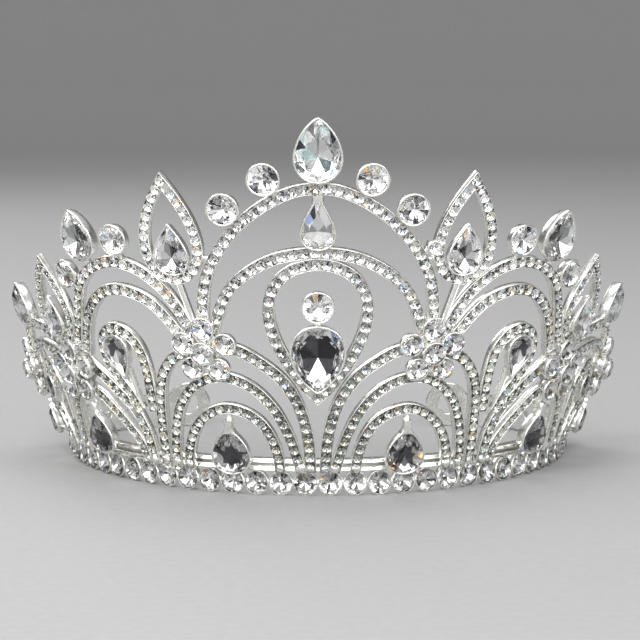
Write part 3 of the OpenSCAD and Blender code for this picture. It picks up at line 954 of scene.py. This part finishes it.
# %% Places on the band
FRONT_SWEEP, END_RADIUS, BAND_PITCH, BAND_STONES = math.radians(92), 33.0, 6.35, 23
FRONT_LENGTH = FRONT_RADIUS * FRONT_SWEEP
BAND_END = (BAND_STONES + 2) * BAND_PITCH


def stand_on_band(run, out, h):
    far = max(0.0, abs(run) - FRONT_LENGTH)
    heading = FRONT_SWEEP + far / END_RADIUS if far else abs(run) / FRONT_RADIUS
    away = FRONT_RADIUS - END_RADIUS if far else 0.0
    radius = (END_RADIUS if far else FRONT_RADIUS) + out
    side = 1 if run >= 0 else -1
    origin = np.array([side * (away * math.sin(FRONT_SWEEP) + radius * math.sin(heading)),
                       -away * math.cos(FRONT_SWEEP) - radius * math.cos(heading), h])
    along = np.array([math.cos(heading), side * math.sin(heading), 0])
    return origin, along, np.array([0.0, 0, 1]), np.array([side * math.sin(heading), -math.cos(heading), 0])


print("the wide front is", round(2 * FRONT_LENGTH), "mm of", round(2 * BAND_END), "mm")

# %% [markdown]
# ## Rails of the band
# Over the row of large stones run two bright rails with a groove between, painted dark as shade, and past
# the last stone a plain strip goes on to each end. Rails with upright faces would only show the dim floor, so
# these lean back a little and catch the light from above. The profile is written as (out, height) and swept
# along the band.

# %% Rails of the band
OUTER, INNER = -0.4, -3.0
RAILS = [(INNER, 6.35), (INNER, 9.4), (OUTER - 0.35, 9.4), (OUTER - 0.2, 9.2), (OUTER, 8.5),
         (OUTER - 0.2, 8.3), (OUTER - 0.9, 8.2), (OUTER - 0.9, 7.6), (OUTER - 0.35, 7.5), (OUTER - 0.2, 7.3),
         (OUTER, 6.55), (OUTER - 0.2, 6.35)]
# The groove gets the seat plate, painted dark as shade.
GROOVE_SIDES = (5, 6, 7)
END_STRIP = [(INNER, 0.15), (INNER, 6.5), (OUTER - 0.25, 6.5), (OUTER, 6.3), (OUTER, 0.4),
             (OUTER - 0.25, 0.15)]


def band_rings(profile, start, end, spacing=2.2):
    count = round((end - start) / spacing)
    stops = [start + (end - start) * i / count for i in range(count + 1)]
    return [[stand_on_band(s, out, h)[0] for out, h in profile] for s in stops]


rails = Tray()
sweep(rails, band_rings(RAILS, -BAND_END, BAND_END), seat_sides=GROOVE_SIDES)
for side in (-1, 1):
    ends = sorted((side * BAND_STONES * BAND_PITCH, side * BAND_END))
    sweep(rails, band_rings(END_STRIP, *ends))
rails.pour("band_rails", [silver, painted_shade_seat_metal], "silver", 35)

# %% [markdown]
# ## Stones of the band
# The band at the foot carries a row of large stones in round cups that touch one another. The cups
# themselves form the lower edge, so light shows between them below. An array along a curve could repeat one
# stone, but the loop gives each its own glints with the same few words.

# %% Stones and cups of the band
BAND_STONE, BAND_STONE_OUT, BAND_STONE_HEIGHT = 5.8, -1.0, 3.2
BAND_SHADE, BAND_CUP_DEPTH, BAND_CUP_BACK = 0.68, 2.0, 0.94
band_crystals, band_cups = Tray(), Tray()
for i in range(-BAND_STONES, BAND_STONES):
    place = stand_on_band((i + 0.5) * BAND_PITCH, BAND_STONE_OUT, BAND_STONE_HEIGHT)
    add_stone(band_crystals, place, BAND_STONE, BAND_STONE, 0, dice.permutation(STAR), BAND_SHADE,
              **ROUND_CUT)
    add_cup(band_cups, place, BAND_STONE, BAND_STONE, 0, BAND_CUP_DEPTH, back_share=BAND_CUP_BACK)
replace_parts(band_crystals.pour("crystal_band_stones", [glass, foil], "crystal"), "band_stones")
band_cups.pour("band_cups", [silver, painted_shade_seat_metal], "silver", 40)

# %% [markdown]
# ## Stems
# Plain bars carry the hanging stones and join the drops and rounds to the arches. Each is its two ends on
# the wall, swept like a channel, with a rounded front. A cylinder between two points would be quicker, but
# it wouldn't follow the wall. Those on the middle line and that of the lone bead aren't mirrored.

# %% Stems
STEMS = [[17.1, 16.5, 17.1, 22.2], [49.6, 16.5, 49.9, 24], [78.2, 13.5, 78.8, 19.8], [36.2, 22, 37.2, 30.5],
         [64.9, 12.5, 65.9, 18.2], [23.3, 54.9, 21.2, 42], [54, 36.5, 52.6, 33.5], [7.9, 80, 6.7, 76],
         [14.1, 72.5, 12.4, 69], [17.2, 60.4, 19.8, 60.8], [23.3, 59, 23.3, 55.5], [33.6, 63.5, 33.6, 58],
         [41.8, 61, 40.8, 56.5], [46.2, 54, 44.6, 51], [54, 40, 54, 37], [68.9, 42, 69.2, 38.5]]
LONE_STEMS = [[0, 72, 0, 77.5], [0, 83, 0, 78], [0, 64.5, 0, 61.5], [0, 43, 0, 46.5], [0, 31, 0, 26.5],
              [17.6, 64.2, 16.6, 60]]
STEM_PROFILE = [(-0.75, -1.3), (-0.75, -0.3), (-0.55, -0.08), (0, 0), (0.55, -0.08), (0.75, -0.3),
                (0.75, -1.3), (0.55, -1.4), (-0.55, -1.4)]
STEM_CUT, STEM_SINK = 1.5, 0.6
stems = Tray()
for stem in STEMS + LONE_STEMS:
    cuts = even_cuts(np.array([stem[:2], stem[2:]], float), STEM_CUT)
    rings = rings_along(cuts, STEM_PROFILE, STEM_SINK)
    sweep(stems, rings)
    if stem in STEMS:
        sweep(stems, mirror_rings(rings))
stems.pour("stems", [silver], "silver", 40)

# %% [markdown]
# ## Necks
# A hanging stone is held by its tip: the cup runs up into a small neck, and the neck into the stem. A neck is
# a few cross-sections, each with a height over the tip of the stone and a half width, joined one to the next.
# Merging cup and stem with a boolean would leave a hard corner, and the real metal flows.

# %% Necks of the hanging stones
SHORT_NECK = [(2.5, 0.95), (2.3, 1.05), (0.9, 1.05), (0.5, 1.0), (0, 1.15), (-0.6, 1.5), (-1.2, 1.9)]
LONG_NECK = [(-0.1, 1.35), (-0.4, 1.25), (-0.8, 1.2), (-1.2, 1.3), (-1.8, 1.5)]
NECK_BACK, NECK_EDGE, NECK_SHOULDER, NECK_FRONT = -1.5, 0.2, 0.25, 0.32
FULL_NECK_WIDTH = 8


def neck_ring(stand, y, w):
    return on(stand, [(-w, y, NECK_BACK), (-w, y, 0.0), (-w + NECK_EDGE, y, NECK_SHOULDER),
                      (0, y, NECK_FRONT), (w - NECK_EDGE, y, NECK_SHOULDER), (w, y, 0.0),
                      (w, y, NECK_BACK)])


necks = Tray()
for name, stand, width, length, _ in main_stones:
    if name.startswith(("lower_drop", "hanging_drop")):
        table = SHORT_NECK if name.startswith("lower") else LONG_NECK
        scale = min(1, width / FULL_NECK_WIDTH)
        tip = length / 2 + RIM
        sweep(necks, [neck_ring(stand, tip + over * scale, half * scale) for over, half in table])
necks.pour("hanging_necks", [silver], "silver", 45)

# %% [markdown]
# ## Solder
# Solder is a drop of soft metal that has run into the joint and set there, so no two blobs are alike. A
# metaball could make them, but it is hard to keep small. Each is a low dome whose radius wanders a little,
# with a dice of its own, seeded as the first one is.

# %% Solder at the feet
BLOB, BLOB_TURNS, BLOB_LEVELS, BLOB_HEIGHT = 1.35, 10, 4, 0.75
OVER_FOOT, BEHIND_FACE = 0.9, 0.55
lumps = np.random.default_rng(5)
solder = Tray()


def add_blob(stand, size):
    wander = lumps.uniform(0.75, 1.2, BLOB_TURNS)
    rings = []
    for level in range(BLOB_LEVELS):
        t = level / BLOB_LEVELS * math.pi / 2
        reach, height = size * wander * math.cos(t), BLOB_HEIGHT * size * math.sin(t)
        ring = circle(1, BLOB_TURNS, height)
        rings.append(on(stand, [(r * x, r * y, z) for r, (x, y, z) in zip(reach, ring)]))
    sweep(solder, rings)


for r in rows:
    for a, h in (r["path"][0], r["path"][-1]):
        if h == FOOT and not r["closed"]:
            place = stand_on_wall(a, FOOT + OVER_FOOT, 0, -r["sink"] - BEHIND_FACE)
            for stand in both_sides(place).values():
                add_blob(stand, BLOB * lumps.uniform(0.7, 1.1))
solder.pour("solder_at_the_feet", [silver], "silver", 80)

# %% [markdown]
# ## End loops
# At each end of the band there is a flat ring for a ribbon or a pin. A torus would be round in section, and
# this ring is flat with its edges taken off, so an eight-sided profile is swept round in a circle.

# %% End loops
LOOP_RADIUS, LOOP_HOLE, LOOP_THICK, LOOP_EDGE, LOOP_TURNS, LOOP_OUT = 6.5, 2.7, 1.5, 0.3, 48, -1.9
end_loops = Tray()
for side in (-1, 1):
    place = stand_on_band(side * (BAND_END + LOOP_HOLE), LOOP_OUT - LOOP_THICK / 2, LOOP_RADIUS)
    t, e = LOOP_THICK / 2, LOOP_EDGE
    profile = [(LOOP_HOLE, -t + e), (LOOP_HOLE, t - e), (LOOP_HOLE + e, t), (LOOP_RADIUS - e, t),
               (LOOP_RADIUS, t - e), (LOOP_RADIUS, -t + e), (LOOP_RADIUS - e, -t), (LOOP_HOLE + e, -t)]
    rings = [on(place, [(r * math.cos(a), r * math.sin(a), z) for r, z in profile])
             for a in np.linspace(0, math.tau, LOOP_TURNS, endpoint=False)]
    sweep(end_loops, rings, closed=True)
end_loops.pour("end_loops", [silver], "silver", 40)

# %% [markdown]
# ## Floor
# The crown stands on a plain pale floor. A flat plane would end in a hard line behind the crown, so this one
# is round and turns up at its rim, like the paper sweep of a studio. It isn't part of the crown.

# %% Floor
floor_finish, nodes, links, shader = new_finish("pale_floor")
links.new(shades(nodes, links, 400, (0.44, 0.44, 0.44), (0.46, 0.46, 0.46)), shader.inputs["Base Color"])
shader.inputs["Roughness"].default_value = 0.7
COVE = [(1.7, 0.0), (2.0, 0.06), (2.25, 0.25), (2.4, 0.55), (2.45, 1.1)]
TURNS = 64
corners = [corner for radius, z in COVE for corner in circle(radius, TURNS, z)]
faces = [tuple(range(TURNS))]
for i in range(len(COVE) - 1):
    low, high = i * TURNS, (i + 1) * TURNS
    faces += [(low + k, high + k, high + (k + 1) % TURNS, low + (k + 1) % TURNS) for k in range(TURNS)]
mesh = bpy.data.meshes.new("floor")
mesh.from_pydata(corners, [], faces)
mesh.polygons.foreach_set("use_smooth", [True] * len(mesh.polygons))
mesh.materials.append(floor_finish)
floor = bpy.data.objects.new("floor", mesh)
bpy.context.collection.objects.link(floor)
print("floor is", 2 * COVE[-1][0], "m across")

# %% [markdown]
# ## Soft light
# Bright metal shows only what it reflects, so a few large soft panels make the white glints, most of them
# in front. A studio picture wrapped round the scene would do this too, but panels can be moved one by one.

# %% Soft light
CROWN_MIDDLE = (0, 0, 0.05)


def panel(name, place, size, watts, colour=(1, 1, 1)):
    light = bpy.data.lights.new(name, "AREA")
    light.shape = "RECTANGLE"
    light.size, light.size_y = size
    light.energy = watts
    light.color = colour
    lamp = bpy.data.objects.new(name, light)
    lamp.location = place
    turn_towards(lamp, CROWN_MIDDLE)
    bpy.context.collection.objects.link(lamp)


panel("light_key", (-0.45, -0.85, 0.9), (0.6, 0.5), 4.5)
panel("light_right", (0.85, -0.7, 0.5), (0.4, 0.7), 4, (0.97, 0.98, 1))
panel("light_left", (-0.9, -0.65, 0.45), (0.4, 0.6), 3.5)
panel("light_front_left", (-0.5, -1.25, 0.35), (0.6, 0.6), 3)
panel("light_front_right", (0.55, -1.25, 0.28), (0.6, 0.6), 3)
panel("light_over_camera", (0, -1.25, 0.56), (1.3, 0.45), 5.6)
panel("light_top", (0, 0.1, 1.0), (0.8, 0.6), 3)
panel("light_back", (-0.5, 0.8, 0.6), (0.5, 0.4), 2)
print("lamps:", len(bpy.data.lights))

# %% [markdown]
# ## The air between the lamps
# What lies between the lamps is dim below and pale above, and makes the dark facets that let the stones
# read as cut. One even grey would leave them flat. A stone needs twelve bounces on glossy faces, and the
# plain view transform keeps white white.

# %% Air between the lamps
world = bpy.data.worlds.new("studio")
bpy.context.scene.world = world
world.use_nodes = True
nodes, links = world.node_tree.nodes, world.node_tree.links
direction = nodes.new("ShaderNodeTexCoord")
split = nodes.new("ShaderNodeSeparateXYZ")
links.new(direction.outputs["Generated"], split.inputs["Vector"])
air = nodes.new("ShaderNodeValToRGB")
below, above = air.color_ramp.elements
below.position, above.position = 0.38, 0.55
below.color, above.color = (0.04, 0.04, 0.045, 1), (0.95, 0.95, 0.95, 1)
links.new(split.outputs["Z"], air.inputs["Fac"])
links.new(air.outputs["Color"], nodes["Background"].inputs["Color"])
nodes["Background"].inputs["Strength"].default_value = 0.5
bpy.context.scene.view_settings.view_transform = "Standard"
bpy.context.scene.cycles.glossy_bounces = 12
print("air from", below.color[0], "to", above.color[0])
